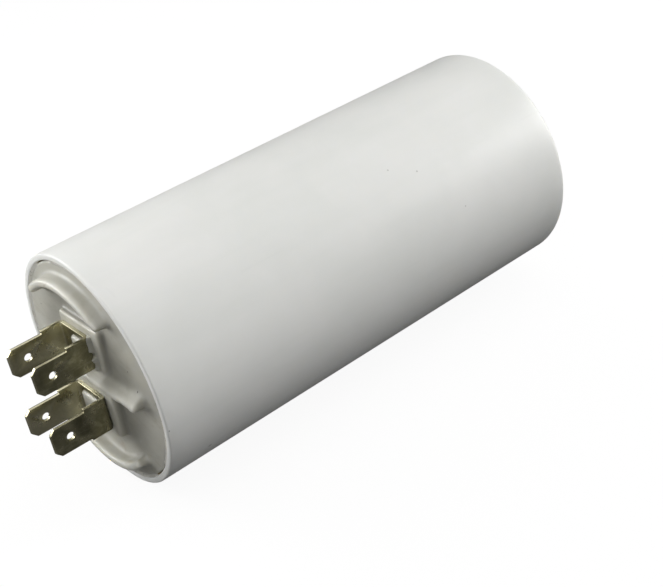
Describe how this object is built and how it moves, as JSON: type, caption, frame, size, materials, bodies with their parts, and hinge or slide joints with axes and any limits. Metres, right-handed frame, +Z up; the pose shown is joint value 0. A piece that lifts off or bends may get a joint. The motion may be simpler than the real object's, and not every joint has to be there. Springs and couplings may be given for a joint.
{
  "type": "motor capacitor",
  "caption": "Cylindrical plastic-cased motor run capacitor with paired push-on blade terminals on a ribbed lid and a threaded mounting stud on its base.",
  "frame": {"origin": "centre of the base's mounting face, where the stud leaves it", "axes": "+X out of the base along the stud, so the case and its terminals lie towards -X; +Z up with the case lying on its side as in the picture"},
  "size_m": [0.1364, 0.051, 0.051],
  "materials": {
    "case_plastic": "smooth satin white moulded plastic",
    "lid_plastic": "natural white moulded plastic, slightly translucent",
    "sealing_resin": "yellowish cured resin",
    "stud_steel": "zinc plated thread",
    "terminal_metal": "dull tinned brass, sheared edges brighter",
    "core_plastic": "natural moulded plastic",
    "winding_film": "metallised film, rolled",
    "wrap_film": "clear outer film",
    "sprayed_zinc": "rough sprayed zinc",
    "lead_insulation": "flexible insulated lead",
    "solder": "bright solder",
    "potting": "cured potting resin"
  },
  "bodies": {
    "root": {"case": "case_plastic", "lid": "lid_plastic", "seal_bead": "sealing_resin", "stud": "stud_steel", "terminal_upper": "terminal_metal", "terminal_lower": "terminal_metal", "core_tube": "core_plastic", "film_winding": "winding_film", "winding_wrap": "wrap_film", "front_end_spray": "sprayed_zinc", "rear_end_spray": "sprayed_zinc", "base_spacer": "core_plastic", "lead_front": "lead_insulation", "lead_rear": "lead_insulation", "front_solder": "solder", "rear_solder": "solder", "tail_joint_front": "solder", "tail_joint_rear": "solder", "potting_resin": "potting"}
  },
  "joints": []
}
